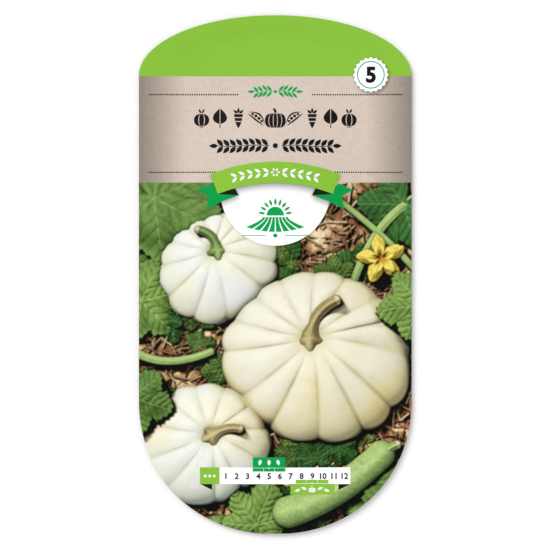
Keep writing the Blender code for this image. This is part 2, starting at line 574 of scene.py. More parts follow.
def lay_straw(still, count, draw):
    """Short bits of straw, bark and twig, scattered over the soil."""
    for _ in range(count):
        x, y = draw.uniform(LEFT, RIGHT), draw.uniform(LOW, HIGH)
        half_length, half_width = draw.uniform(0.5, 3.0), draw.uniform(0.10, 0.30)
        turn, raised = draw.uniform(0, math.pi), draw.uniform(0.3, 1.5)
        colour = np.array(draw.choice(STRAW_COLOURS)) * draw.uniform(0.5, 1.25)
        part, dx, dy = still.window(x, y, half_length)
        along, across = turned(dx, dy, turn)
        across += 0.05 * along**2 / half_length
        rise = raised + 0.25 * along / half_length + np.sqrt(np.clip(half_width**2 - across**2, 0, None))
        inside = (abs(along) < half_length) & (abs(across) < half_width)
        still.lay(part, rise, np.broadcast_to(colour, (*dx.shape, 3)), inside)


STEM_STEPS = 80


def lay_stem(still, points, radius, height, colour, taper=0.15, flare=0.0, ridges=9, relief=0.06, fleck=0.0):
    """A round stem along a smooth curve between three points. height is that of its two ends."""
    (x0, y0), (x1, y1), (x2, y2) = points
    middle_x, middle_y = (x0 + 2 * x1 + x2) / 4, (y0 + 2 * y1 + y2) / 4
    reach = max(math.hypot(x - middle_x, y - middle_y) for x, y in points) + (2 + flare) * radius
    part, dx, dy = still.window(middle_x, middle_y, reach)
    nearest = np.full(dx.shape, np.inf)
    place, side = np.zeros(dx.shape), np.zeros(dx.shape)
    for i in range(STEM_STEPS + 1):
        t = i / STEM_STEPS
        x = (1 - t) ** 2 * x0 + 2 * t * (1 - t) * x1 + t * t * x2 - middle_x
        y = (1 - t) ** 2 * y0 + 2 * t * (1 - t) * y1 + t * t * y2 - middle_y
        run_x, run_y = (1 - t) * (x1 - x0) + t * (x2 - x1), (1 - t) * (y1 - y0) + t * (y2 - y1)
        distance = np.hypot(dx - x, dy - y)
        closer = distance < nearest
        nearest = np.where(closer, distance, nearest)
        place = np.where(closer, t, place)
        side = np.where(closer, ((dy - y) * run_x - (dx - x) * run_y) / math.hypot(run_x, run_y), side)
    turn = np.arctan2(dy - y0 + middle_y, dx - x0 + middle_x)
    star = 1 + 0.35 * np.cos(5 * turn + 1) * np.exp(-place / 0.03)
    width = radius * (1 - taper * place + flare * np.exp(-place / 0.10) * star)
    ribbing = np.cos(side / width * ridges)
    round_up = np.sqrt(np.clip(1 - (nearest / width) ** 2, 0, None))
    rise = round_up * radius * (1 + relief * ribbing)
    # Painted shade: lighter on the ridges and darker in the grooves between them, with random mottling of the
    # stem's own tone
    shade = 1 + 1.6 * relief * ribbing + 0.12 * cloud(dx, dy, 2.0, 31) + 0.10 * cloud(dx, dy, 0.5, 37, 1)
    tint = np.asarray(colour) * shade[..., None]
    if flare:
        tint = blend(tint, CORK, smooth(place, 0.985, 1.0) * smooth(1 - nearest / width, 0.05, 0.3))
    if fleck:
        spots = smooth(cloud(dx, dy, 0.55, 47, 2), 0.15, 0.5)
        tint = tint * (1 + fleck * (spots - 0.3))[..., None]
    still.lay(part, height[0] + (height[1] - height[0]) * place + rise, tint, nearest < width, 0.25)


def lay_stalk(still, points, radius, height, colour, taper, flare):
    """A squash's stalk, a five-ridged stem that widens where it grows out of the squash."""
    lay_stem(still, points, radius, height, colour, taper, flare, ridges=5, relief=0.16)


# How deep a leaf's lobes are cut, and how far its blade reaches round from its tip
LOBE_DEPTH = 0.16
LEAF_SPREAD = 2.35


def lay_leaf(still, x, y, turn, length, height, colour, seed, tilt):
    """A broad toothed leaf, with five main veins from its stalk at x, y. turn is where its tip points."""
    part, dx, dy = still.window(x, y, length * 1.15)
    wave = 0.07 * cloud(dx, dy, length * 0.5, seed, octaves=2)
    angle = (np.arctan2(dy, dx) - turn + math.pi) % (2 * math.pi) - math.pi + wave
    reach = np.hypot(dx, dy)
    vein_turn = LEAF_SPREAD / 2.5
    vein = np.clip(np.round(angle / vein_turn), -2, 2)
    off = angle - vein * vein_turn
    between = (1 - np.cos(np.clip(off / vein_turn * 2, -1, 1) * math.pi)) / 2
    end = 1 - 0.13 * abs(vein) - LOBE_DEPTH * between
    end = end * (1 - 0.75 * smooth(abs(angle), LEAF_SPREAD, math.pi))
    teeth = abs((angle * 7.3 + 0.5 * vein) % 1 - 0.5) * 2
    fine_teeth = abs((angle * 19 + 3 * wave) % 1 - 0.5) * 2
    edge = length * end * (1 - 0.05 * teeth - 0.025 * fine_teeth + wave)
    share = reach / np.maximum(edge, 0.001)
    along, across = reach * np.cos(off), reach * np.sin(off)
    wander = 0.5 * cloud(dx, dy, length * 0.16, seed + 17, octaves=2)
    main_vein = peak(across, 0.16 + 0.009 * np.clip(length - along, 0, None))
    pitch = length * 0.15
    ribs = abs(((along - 0.75 * abs(across) + wander) / pitch) % 1 - 0.5) * pitch
    side_vein = peak(ribs, 0.12) * smooth(abs(across), 0.0, 0.6)
    net = peak(cloud(dx, dy, 1.3, seed + 5, octaves=2), 0.09)
    puff = np.sin(np.clip(ribs / pitch * 2, 0, 1) * math.pi / 2) * 0.30
    bend = 0.09 * length * cloud(dx, dy, length * 0.45, seed + 9, octaves=2) - 0.10 * abs(across)
    droop = -1.1 * smooth(share, 0.5, 1.0)
    crumple = 0.12 * cloud(dx, dy, 1.6, seed + 23, octaves=2)
    rise = height + tilt[0] * dx + tilt[1] * dy + bend + droop + puff + crumple
    rise -= 0.25 * main_vein + 0.12 * side_vein
    patch = 1 + 0.24 * cloud(dx, dy, length * 0.3, seed + 2) + 0.12 * cloud(dx, dy, 0.6, seed + 3, octaves=2)
    base = np.asarray(colour) * patch[..., None]
    pale = np.asarray(colour) * 1.35 + (0.06, 0.07, 0.03)
    veined = np.clip(0.62 * main_vein + 0.26 * side_vein + 0.08 * net, 0, 1)
    still.lay(part, rise, blend(base, pale, veined), share < 1, 0.30)


COOL_TINT, WARM_TINT = (0.95, 1.0, 1.08), (1.02, 0.95, 0.78)


def lay_gourd(still, x, y, size, turn, ribs, height, colour, valley, seed, lean=(0.0, 0.0)):
    """A ribbed round squash seen from above. lean moves its stalk away from its middle."""
    half_width, half_length = size
    part, dx, dy = still.window(x, y, max(size) * 1.1)
    along, across = turned(dx, dy, turn)
    u, v = along / half_width - lean[0], across / half_length - lean[1]
    distance = np.hypot(u, v) + 1e-9
    inner = (lean[0] * u + lean[1] * v) / distance
    edge = -inner + np.sqrt(np.clip(inner**2 + 1 - lean[0] ** 2 - lean[1] ** 2, 0, None))
    angle = np.arctan2(v, u)
    round_x, round_y = np.cos(angle) * 3, np.sin(angle) * 3
    uneven = 0.20 * cloud(round_x, round_y, 1.6, seed, octaves=1) + 0.10 * distance / edge
    lobe = abs(np.sin((angle + uneven) * ribs / 2))
    groove = peak(lobe, 0.30)
    swell = (lobe**2 + 0.012) ** 0.42
    edge = edge * (1 - 0.045 * (1 - swell) + 0.02 * cloud(round_x, round_y, 0.9, seed + 4, 1))
    t = distance / edge
    ramp = smooth(t, 0.06, 0.6)
    bulge = np.sqrt(np.clip(1 - t**2.2, 0, None))
    dimple = 0.20 * peak(t, 0.24)
    lumps = 0.016 * cloud(dx, dy, 6.0, seed + 21, octaves=2)
    ribbing = (0.060 * (1 - swell) + 0.012 * groove) * ramp
    rise = height * (bulge * (1 - ribbing + lumps) - dimple)
    streak = cloud(angle * 9, t * 1.3, 0.8, seed + 7, octaves=3)
    blot = cloud(dx, dy, 9.0, seed + 8)
    stained = 0.18 * groove * ramp + 0.50 * peak(t, 0.28) + 0.30 * streak + 0.24 * blot + 0.06
    warmth = smooth(cloud(dx, dy, half_width * 0.9, seed + 31, octaves=3), -0.35, 0.40)
    skin = blend(colour, valley, np.clip(stained, 0, 1)) * blend(COOL_TINT, WARM_TINT, warmth)
    skin = skin * (1 + 0.04 * blot + 0.04 * streak + 0.02 * cloud(dx, dy, 0.5, seed + 11, 2))[..., None]
    freckle = 0.6 * smooth(cloud(dx, dy, 1.4, seed + 13, 2), 0.66, 0.82)
    skin = blend(skin, skin * (0.84, 0.70, 0.50), freckle)
    still.lay(part, rise, skin, t < 1, 0.9)


def lay_blossom(still, x, y, turn, length, height, colour, heart, seed):
    """A squash blossom: five pointed petals, each with a rib, round a darker throat."""
    part, dx, dy = still.window(x, y, length * 1.1)
    angle = np.arctan2(dy, dx) - turn + 0.10 * cloud(dx, dy, length * 0.5, seed)
    off = (angle / (2 * math.pi) * 5 + 0.5) % 1 - 0.5
    reach = np.hypot(dx, dy)
    edge = length * (0.42 + 0.58 * (1 - abs(off) * 2) ** 0.8) * (1 + 0.06 * cloud(dx, dy, 1.4, seed + 2))
    share = reach / edge
    rib = peak(off * reach * 1.3, 0.28)
    crinkle = 0.35 * cloud(off * 30, share * 3, 2.0, seed + 4)
    rise = height + 3.0 * smooth(share, 0.0, 0.55) - 2.6 * smooth(share, 0.6, 1.0) + crinkle + 0.3 * rib
    tint = blend(heart, colour, smooth(share, 0.05, 0.45))
    tint = blend(tint, np.array((0.45, 0.50, 0.10)), 0.45 * rib * smooth(share, 0.2, 0.9))
    tint = tint * (1 + 0.16 * cloud(off * 40, share * 2, 1.6, seed + 6))[..., None]
    still.lay(part, rise, tint, share < 1, 0.2)


def shifted(values, right, up):
    """The values that lie this many places to the right and up."""
    rows, columns = values.shape
    side = (max(-right, 0), max(right, 0))
    padded = np.pad(values, ((max(-up, 0), max(up, 0)), side), mode="edge")
    return padded[max(up, 0):max(up, 0) + rows, side[1]:side[1] + columns]


def blurred(values, size):
    """A box blur of this many places each way, done twice along each axis."""
    width = 2 * size + 1
    for axis in (0, 0, 1, 1):
        edge = [(0, 0), (0, 0)]
        edge[axis] = (size + 1, size)
        total = np.cumsum(np.pad(values, edge, mode="edge"), axis=axis)
        count = values.shape[axis]
        after = np.take(total, np.arange(width, width + count), axis=axis)
        values = (after - np.take(total, np.arange(count), axis=axis)) / width
    return values


def unit(vector):
    return vector / np.linalg.norm(vector)


SUN = unit(np.array((-0.42, 0.60, 1.10)))
SHADOW_REACH = 30.0

# Turns and steepnesses at which shadows are cast, for soft edges
SUN_SAMPLES = ((0.0, 1.0), (0.08, 0.92), (-0.08, 1.09), (0.03, 0.82))


def sunlight(still):
    """Direct light from the upper left with soft-edged shadows, the sky's share, and the shine."""
    slope_y, slope_x = np.gradient(still.height, STEP)
    length = np.sqrt(slope_x**2 + slope_y**2 + 1)
    facing, shine = (
        np.clip((way[2] - slope_x * way[0] - slope_y * way[1]) / length, 0, None)
        for way in (SUN, unit(SUN + (0, 0, 1)))
    )
    lit = np.zeros(still.height.shape)
    for turn, steepness in SUN_SAMPLES:
        run_x, run_y = turned(SUN[0], SUN[1], -turn)
        run = math.hypot(run_x, run_y)
        horizon = np.full(still.height.shape, -np.inf)
        travelled = STEP * 1.5
        while travelled < SHADOW_REACH:
            places = travelled / STEP / run
            towards_sun = shifted(still.height, round(run_x * places), round(run_y * places))
            horizon = np.maximum(horizon, towards_sun - travelled * SUN[2] * steepness / run)
            travelled *= 1.16
        lit += (1 - smooth(horizon - still.height, 0.0, 0.4)) / len(SUN_SAMPLES)
    return facing * lit, 0.5 + 0.5 / length, still.gloss * lit * (0.5 * shine**24 + 0.5 * shine**90)


# How many places of the grid away the sky can be blocked from
SKY_REACHES = (4, 12, 36)
GAMMA = 2.2


def open_sky(still):
    """How much of the sky each place sees: little where what is round it stands higher."""
    seen = np.zeros(still.height.shape)
    for size in SKY_REACHES:
        depth = np.clip(blurred(still.height, size) - still.height, 0, None)
        seen += np.clip(1 - depth / (0.26 * size * STEP + 0.25), 0, 1) / len(SKY_REACHES)
    return seen**GAMMA


SUN_TINT, SKY_TINT, SHINE_TINT = (1.03, 1.0, 0.94), (0.88, 1.0, 1.18), (1.0, 1.0, 0.96)


def develop(still):
    """The picture's printed colours, from the light on the still life."""
    direct, upward, shine = sunlight(still)
    sky = upward * open_sky(still)
    colours = still.colour * (1.22 * direct + 0.26 * sky)[..., None] * SUN_TINT
    colours += still.colour * (0.24 * sky)[..., None] * SKY_TINT
    colours += 0.12 * shine[..., None] * SHINE_TINT
    colours = colours / (1 + np.clip(colours - 0.50, 0, None) * 0.50)
    seen = np.clip(colours, 0, 1) ** (1 / GAMMA)
    return (seen * 0.65 + smooth(seen, 0.02, 1.0) * 0.35) ** GAMMA


LEAF = np.array((0.098, 0.165, 0.050))
LEAF_LIGHT = np.array((0.140, 0.220, 0.066))
LEAF_DARK = np.array((0.045, 0.115, 0.036))
STALK = np.array((0.24, 0.33, 0.13))
DRY_STALK = np.array((0.30, 0.25, 0.13))
CORK = np.array((0.52, 0.42, 0.26))
CREAM = np.array((0.86, 0.77, 0.50))
IVORY = np.array((0.86, 0.83, 0.65))
CHALK = np.array((0.82, 0.84, 0.77))
GREENISH = np.array((0.52, 0.60, 0.38))
HONEY = np.array((0.70, 0.56, 0.28))
MARROW = np.array((0.26, 0.36, 0.14))
PETAL = np.array((0.78, 0.55, 0.12))
THROAT = np.array((0.60, 0.30, 0.05))


# Where the ground stays bare of small leaves: left, right, low and high
BARE_SOIL = ((8, 40, 4, HIGH), (LEFT, -26, -36, -22), (30, RIGHT, LOW, -58))


def in_soil(x, y):
    return any(left < x < right and low < y < high for left, right, low, high in BARE_SOIL)


STRAWS, SMALL_LEAVES = 2600, 70


def compose():
    """A large pale squash, two small ones, a marrow and a blossom among leaves on strewn soil."""
    draw = random.Random(7)
    still = StillLife()
    lay_soil(still)
    lay_straw(still, STRAWS, draw)
    laid = 0
    while laid < SMALL_LEAVES:
        x, y = draw.uniform(LEFT, RIGHT), draw.uniform(LOW, HIGH)
        if in_soil(x, y):
            continue
        colour = (LEAF, LEAF_DARK, LEAF_LIGHT, LEAF_DARK)[laid % 4] * draw.uniform(0.6, 1.0)
        tilt = (draw.uniform(-0.25, 0.25), draw.uniform(-0.25, 0.25))
        turn, length, height = draw.uniform(0, 2 * math.pi), draw.uniform(6.0, 11.0), draw.uniform(1.0, 3.4)
        lay_leaf(still, x, y, turn, length, height, colour, 100 + 20 * laid, tilt)
        laid += 1
    lay_stem(still, ((44, 24), (30, 16), (24, -4)), 1.6, (4.0, 3.0), STALK)
    lay_stem(still, ((-44, -24), (-34, -30), (-20, -24)), 1.4, (3.5, 4.5), STALK)
    lay_stem(still, ((46, -2), (38, 10), (16, 26)), 1.1, (4.5, 4.0), STALK)
    lay_leaf(still, -38, 24, -0.5, 25, 5.0, LEAF, 800, (0.08, -0.12))
    lay_leaf(still, -42, -8, 0.2, 17, 6.0, LEAF_LIGHT, 830, (-0.10, 0.15))
    lay_leaf(still, 40, 22, -2.2, 17, 5.5, LEAF_DARK, 860, (0.15, 0.10))
    lay_leaf(still, 43, -68, 2.4, 20, 6.0, LEAF, 890, (0.05, -0.15))
    lay_leaf(still, -6, -78, 1.2, 15, 5.0, LEAF_LIGHT, 950, (-0.12, 0.10))
    lay_gourd(still, -18, 2, (20, 18), 0.4, 12, 14, CHALK, GREENISH, 40, lean=(0.05, 0.30))
    lay_gourd(still, 13, -26, (30, 27), -0.15, 14, 20, CREAM, HONEY, 70, lean=(-0.08, 0.22))
    lay_gourd(still, -22, -53, (21, 19), 0.2, 11, 16, IVORY, GREENISH, 90, lean=(0.12, 0.15))
    lay_stalk(still, ((10.5, -19.5), (12, -11), (19, -8)), 2.1, (15.5, 21.0), DRY_STALK, 0.20, 1.3)
    lay_stalk(still, ((-18, 8), (-19, 13), (-24, 14)), 1.6, (11.0, 15.0), STALK * 0.8, 0.20, 1.2)
    lay_stalk(still, ((-19.5, -50), (-15, -47), (-11, -48)), 1.6, (13.0, 17.0), DRY_STALK, 0.20, 1.2)
    lay_stem(still, ((4, -74), (20, -69), (33, -56)), 4.9, (5.0, 5.0), MARROW, 0.12, 0.0, 5, 0.03, 0.22)
    lay_stalk(still, ((32, -57.5), (35, -54), (38, -53)), 1.5, (6.5, 8.0), STALK, 0.1, 0.8)
    lay_blossom(still, 33, 5, 0.5, 8.0, 6.0, PETAL, THROAT, 300)
    lay_leaf(still, 46, -9, 3.3, 15, 16.5, LEAF_LIGHT, 980, (-0.10, 0.12))
    lay_leaf(still, -45, -38, -0.3, 14, 15.5, LEAF, 1010, (0.12, 0.10))
    return still


# The printed picture itself


def sampled(values, x, y):
    """The values of the still life's grid at places between its own."""
    column = np.clip((x - LEFT) / STEP - 0.5, 0, values.shape[1] - 1.001)
    row = np.clip((y - LOW) / STEP - 0.5, 0, values.shape[0] - 1.001)
    c, r = column.astype(int), row.astype(int)
    a, b = (column - c)[..., None], (row - r)[..., None]
    low = values[r, c] * (1 - a) + values[r, c + 1] * a
    high = values[r + 1, c] * (1 - a) + values[r + 1, c + 1] * a
    return low * (1 - b) + high * b


PICTURE_COLUMNS = 340
PICTURE_ROWS = 440
PICTURE_PARTS = 2

# How many times coarser the grid of the picture's underside is
COARSE = 4


def shade_under(still, loops, right, down, spread, depth):
    """How much light the soft printed shadow of flat shapes leaves at each place."""
    covered = np.zeros(still.x.shape, bool)
    across, up = still.x[0] - right, still.y[:, 0] + down
    for loop in loops:
        for (x0, y0), (x1, y1) in zip(loop, [*loop[1:], loop[0]]):
            rows = np.flatnonzero((y0 > up) != (y1 > up))
            crossing = x0 + (up[rows] - y0) * (x1 - x0) / (y1 - y0) if len(rows) else up[rows]
            covered[rows] ^= across > crossing[:, None]
    return 1 - depth * blurred(covered.astype(float), round(spread / STEP / 2))


def picture_rows():
    """Lines across the picture from just above its tip to its top, closer where the arch turns fast."""
    share = np.arange(1, PICTURE_ROWS + 2) / (PICTURE_ROWS + 1)
    return -HALF_LENGTH + (PICTURE_LINE + HALF_LENGTH) * (share + share**1.25) / 2


def quads(index):
    """The faces of a grid of points, from the grid of their numbers."""
    corners = (index[:-1, :-1], index[:-1, 1:], index[1:, 1:], index[1:, :-1])
    return np.stack(corners, axis=-1).reshape(-1, 4).tolist()


def grid_places(shape, left, right, low, high):
    """Even places in a rectangle of the UV map, for the points of a grid row by row."""
    u, v = np.meshgrid(np.linspace(left, right, shape[1]), np.linspace(low, high, shape[0]))
    return np.stack((u, v), axis=-1).reshape(-1, 2)


def picture_layer(name, x, y):
    """A thin closed layer over a grid of places on the front. Its underside has a coarser grid."""
    top = np.arange(x.size).reshape(x.shape)
    under_x, under_y = x[::COARSE, ::COARSE], y[::COARSE, ::COARSE]
    under = x.size + np.arange(under_x.size).reshape(under_x.shape)
    points = np.concatenate([
        np.stack((px, py, front_face(px, py) + lift), axis=-1).reshape(-1, 3)
        for px, py, lift in ((x, y, LAYER), (under_x, under_y, -LAYER))
    ])
    faces = quads(top) + quads(under[:, ::-1])
    rim_start = 4 * len(faces)
    sides = (
        (top[0], under[0]),
        (top[:, -1], under[:, -1]),
        (top[-1, ::-1], under[-1, ::-1]),
        (top[::-1, 0], under[::-1, 0]),
    )
    for fine, rough in sides:
        for i in range(len(rough) - 1):
            above = fine[i * COARSE:(i + 1) * COARSE + 1].tolist()
            faces.append([*above[::-1], int(rough[i]), int(rough[i + 1])])
    mesh = bpy.data.meshes.new(name)
    mesh.from_pydata((points * MM).tolist(), [], faces)
    on_top = grid_places(x.shape, 0.01, 0.99, 0.01, 0.65)
    beside = grid_places(under_x.shape, 0.003, 0.997, 0.003, 0.657)
    apart = grid_places(under_x.shape, 0.02, 0.48, 0.68, 0.98)
    corners = np.concatenate(faces)
    low_rim = (np.arange(len(corners)) >= rim_start) & (corners >= x.size)
    places = np.concatenate((on_top, apart))[corners]
    places[low_rim] = beside[corners[low_rim] - x.size]
    mesh.uv_layers.new(name="OFBake").data.foreach_set("uv", places.astype(np.float32).ravel())
    return mesh, points


def add_picture():
    """The printed picture, a fine grid that fills the packet's outline below the tan band."""
    still = compose()
    labels = [circle(0.0, PLAQUE_Y, PLAQUE_RADIUS), TAIL, mirrored(TAIL)]
    shade = shade_under(still, labels, right=0.2, down=0.3, spread=1.1, depth=0.3)
    colours = develop(still) * shade[..., None]
    for channel in range(3):
        fine, coarse = (blurred(colours[..., channel], size) for size in (1, 3))
        colours[..., channel] = np.clip(fine + 0.5 * (fine - coarse), 0, 1)
    lines = picture_rows()
    finish = picture_material()
    across = np.linspace(-1, 1, PICTURE_COLUMNS + 1)
    rows = PICTURE_ROWS // PICTURE_PARTS
    for number in range(PICTURE_PARTS):
        y = np.repeat(lines[number * rows:(number + 1) * rows + 1, None], PICTURE_COLUMNS + 1, axis=1)
        mesh, points = picture_layer(f"picture_{number + 1}", PACKET.half_width_at(y) * across, y)
        paint = mesh.color_attributes.new("print", "FLOAT_COLOR", "POINT")
        rgba = np.ones((len(points), 4), np.float32)
        rgba[:, :3] = np.clip(sampled(colours, points[:, 0], points[:, 1]) - SHEEN, 0, None) / PRINT_LIGHT
        paint.data.foreach_set("color", rgba.ravel())
        add_piece(f"picture_print_{number + 1}", mesh, [finish])


# Crisp printed shapes, each a thin layer that follows the sheet

CUT_PITCH = 1.5


def cut_up(bm):
    """Cuts flat faces along a square grid, so that they can bend with the sheet."""
    for axis in (0, 1):
        places = [v.co[axis] for v in bm.verts]
        line, across = [0.0, 0.0, 0.0], [0.0, 0.0, 0.0]
        line[axis], across[axis] = (math.floor(min(places) / CUT_PITCH) + 1) * CUT_PITCH, 1.0
        while line[axis] < max(places):
            everything = bm.verts[:] + bm.edges[:] + bm.faces[:]
            bmesh.ops.bisect_plane(bm, geom=everything, dist=1e-5, plane_co=line, plane_no=across)
            line[axis] += CUT_PITCH


def print_shapes(name, bm, level, material, on_back=False):
    """Turns flat faces drawn in millimetres into a thin closed layer of print on the packet."""
    surface, outwards = (underside, -LAYER) if on_back else (front_face, LAYER)
    cut_up(bm)
    for v in bm.verts:
        v.co.z = -outwards
    for part in bmesh.ops.extrude_face_region(bm, geom=bm.faces[:], use_keep_orig=True)["geom"]:
        if isinstance(part, bmesh.types.BMVert):
            part.co.z = level * outwards
    x, y, lift = np.array([v.co for v in bm.verts]).T
    for v, place in zip(bm.verts, np.stack((x, y, surface(x, y) + lift), axis=1) * MM):
        v.co = place
    add_piece(name, finished(bm, name), [material])


def filled(*shapes):
    """Flat shapes side by side, each from closed loops of points. A loop inside another is a hole."""
    bm = bmesh.new()
    for loops in shapes:
        edges = []
        for loop in loops:
            verts = [bm.verts.new((x, y, 0.0)) for x, y in loop]
            edges += [bm.edges.new((verts[i - 1], verts[i])) for i in range(len(verts))]
        bmesh.ops.triangle_fill(bm, use_beauty=True, use_dissolve=False, edges=edges)
    return bm


def filled_all(loops):
    """Flat shapes without holes, each from one loop."""
    return filled(*([loop] for loop in loops))


def circle(x, y, radius, steps=48):
    turns = [2 * math.pi * i / steps for i in range(steps)]
    return [(x + radius * math.cos(t), y + radius * math.sin(t)) for t in turns]


def rectangle(left, right, low, high):
    return [(left, low), (right, low), (right, high), (left, high)]


def arc_radius(half_chord, end_height, middle_height):
    rise = middle_height - end_height
    return (half_chord**2 + rise**2) / (2 * rise)


def arc_through(half_chord, end_height, middle_height, steps=40):
    """Points from right to left along the arc over a chord that is centred on the packet's middle line."""
    radius = arc_radius(half_chord, end_height, middle_height)
    centre = middle_height - radius
    reach = math.asin(half_chord / radius)
    turns = [reach - 2 * reach * i / steps for i in range(steps + 1)]
    return [(radius * math.sin(t), centre + radius * math.cos(t)) for t in turns]


def mirrored(points):
    return [(-x, y) for x, y in reversed(points)]


def moved(points, x, y, turn=0.0, size=1.0):
    cos, sin = math.cos(turn) * size, math.sin(turn) * size
    return [(x + px * cos - py * sin, y + px * sin + py * cos) for px, py in points]


def blade(length, width, steps=9):
    """A pointed leaf from 0, 0 along +X, widest a little before its middle."""
    places = [i / steps for i in range(1, steps)]
    side = [(length * t, width / 2 * math.sin(math.pi * t**0.85)) for t in places]
    return [(0.0, 0.0), *[(x, -y) for x, y in side], (length, 0.0), *side[::-1]]


PLAQUE_Y, PLAQUE_RADIUS = 26.1, 17.1
RIBBON_TOP = (20.25, 31.25, 35.1)
RIBBON_BOTTOM = (17.9, 25.1, 28.5)
TAIL = [
    (-19.5, 28.5),
    (-24.1, 26.4),
    (-20.8, 24.5),
    (-21.4, 20.4),
    (-16.6, 22.8),
    (-11.4, 24.7),
    (-17.9, 25.1),
]
FOLD = [(-17.9, 25.1), (-12.6, 27.0), (-11.4, 24.7)]


def plaque_material():
    """White, with the soft printed shadow of the ribbon and its tails."""
    nodes = Nodes("plaque_white", 0.42)
    radius = arc_radius(*RIBBON_BOTTOM)
    distance = plan_distance(nodes, 0.0, RIBBON_BOTTOM[2] - radius)
    under_ribbon = nodes.fade(distance, radius - 3.4, radius + 1.2, 1.0, 0.22)
    (low_x, low_y), (high_x, high_y) = TAIL[4:6]
    inside = past_line(nodes, (-low_x, low_y), (-high_x, high_y))
    under_tail = nodes.fade(inside, -3.0, 1.2, 0.0, 0.74)
    beside = nodes.fade(nodes.math("ABSOLUTE", nodes.position(0)), 9.5, 13.0, 0.0, -1.0)
    light = nodes.math("MINIMUM", under_ribbon, nodes.math("MULTIPLY_ADD", under_tail, beside, 1.0))
    return nodes.finish(nodes.scale(LABEL_WHITE, light), [nodes.noise(GRAIN, detail=1)])


def plaque_outline():
    """The round plaque's edge below the ribbon, closed along a line behind the ribbon."""
    hung = [point for point in circle(0.0, PLAQUE_Y, PLAQUE_RADIUS, 120) if point[1] < PLAQUE_Y]
    behind = [(x * 0.9, y + 2.5) for x, y in arc_through(*RIBBON_BOTTOM)]
    left_to_right = sorted(hung, key=lambda point: math.atan2(point[1] - PLAQUE_Y, point[0]))
    return left_to_right + behind


def add_ribbon():
    """The round plaque behind a ribbon with a folded tail on each side."""
    print_shapes("plaque_print", filled([plaque_outline()]), 2, plaque_material())
    tail_green = ink_material("ribbon_tail_green", TAIL_GREEN)
    print_shapes("ribbon_tails_print", filled_all([TAIL, mirrored(TAIL)]), 3, tail_green)
    fold_ink = ink_material("fold_ink", FOLD_INK)
    print_shapes("ribbon_folds_print", filled_all([FOLD, mirrored(FOLD)]), 4, fold_ink)
    top, bottom = arc_through(*RIBBON_TOP), arc_through(*RIBBON_BOTTOM)
    print_shapes("ribbon_print", filled([top + bottom[::-1]]), 5, ink_material("ribbon_green", GREEN))


def toothed(x, y, tip, dip, teeth):
    """A round outline with pointed teeth."""
    points = circle(x, y, 1.0, teeth * 2)
    reaches = (tip, dip) * teeth
    return [(x + (px - x) * reach, y + (py - y) * reach) for (px, py), reach in zip(points, reaches)]


def text_faces(text, height, bold):
    """A number drawn in Blender's own plain type, as flat faces centred on 0, 0."""
    curve = bpy.data.curves.new("digits", "FONT")
    curve.body = text
    curve.align_x = "CENTER"
    curve.offset = bold
    curve.resolution_u = 4
    holder = bpy.data.objects.new("digits", curve)
    bpy.context.scene.collection.objects.link(holder)
    bm = bmesh.new()
    drawn = holder.evaluated_get(bpy.context.evaluated_depsgraph_get())
    bm.from_mesh(drawn.to_mesh())
    drawn.to_mesh_clear()
    bpy.data.objects.remove(holder)
    bpy.data.curves.remove(curve)
    bmesh.ops.remove_doubles(bm, verts=bm.verts, dist=1e-5)
    (left, right), (low, high) = (
        (min(v.co[axis] for v in bm.verts), max(v.co[axis] for v in bm.verts)) for axis in (0, 1)
    )
    size = height / (high - low)
    for v in bm.verts:
        v.co = ((v.co.x - (left + right) / 2) * size, (v.co.y - (low + high) / 2) * size, 0.0)
    return bm


def add_seal():
    """The toothed seal over the dome's edge, with a fine ring round a plain number."""
    white = ink_material("seal_white", LABEL_WHITE, mottle=0.01)
    outline = toothed(SEAL_X, SEAL_Y, SEAL_TIP, SEAL_DIP, SEAL_TEETH)
    print_shapes("seal_print", filled([outline]), 2, white)
    ring = [circle(SEAL_X, SEAL_Y, radius) for radius in SEAL_RING]
    print_shapes("seal_ring_print", filled(ring), 3, ink_material("seal_ring_green", SEAL_GREEN))
    digit = text_faces("5", 5.1, 0.045)
    bmesh.ops.translate(digit, verts=digit.verts, vec=(SEAL_X, SEAL_Y, 0))
    print_shapes("seal_number_print", digit, 3, ink_material("seal_ink", INK))


RULE_DOT = 0.49
RULE_PITCH = 0.7085
RULE_Y, RIBBON_RULE_Y = 56.15, 31.9
RULES = ((RULE_Y, 11.67, 40), (RIBBON_RULE_Y, 18.76, 30))


def rule_dots():
    """The two dotted rules. Each has a height, a start at either side of its open middle, and a count."""
    return filled_all(
        circle(side * (start + RULE_PITCH * i), y, RULE_DOT / 2, 10)
        for y, start, count in RULES for i in range(count) for side in (-1, 1)
    )


# Small vegetable silhouettes, each in a square one unit high and centred on 0, 0


def between(a, b, c, d, t):
    """The value at a share t of the way from b to c, on a smooth curve through four values."""
    bend, twist = 2 * a - 5 * b + 4 * c - d, 3 * b - a - 3 * c + d
    return 0.5 * (2 * b + (c - a) * t + bend * t**2 + twist * t**3)


def smooth_line(points, steps):
    """Points along a round curve through the points, from the first to the last."""
    line = []
    padded = [points[0], *points, points[-1]]
    for four in zip(padded, padded[1:], padded[2:], padded[3:]):
        line += [tuple(between(*axis, i / steps) for axis in zip(*four)) for i in range(steps)]
    return [*line, points[-1]]


def slices(half_width, low, high, cuts, blunt):
    """A round body cut lengthwise. Each pair in cuts has a slice's edges, as shares of the half width."""
    middle, rise = (low + high) / 2, (high - low) / 2
    turns = [math.pi * (0.04 + 0.92 * i / 14) for i in range(15)]
    side = [(half_width * math.sin(t) ** blunt, middle - rise * math.cos(t)) for t in turns]
    return [[(far * x, y) for x, y in side] + [(near * x, y) for x, y in side[::-1]] for near, far in cuts]


def fronds(x, y, gap, length, width, turns):
    """Pointed leaves that spread from a point. turns is in degrees, 90 straight up."""
    shapes = []
    for degrees in turns:
        turn = math.radians(degrees)
        shapes.append(moved(blade(length, width), x + gap * math.cos(turn), y + gap * math.sin(turn), turn))
    return shapes


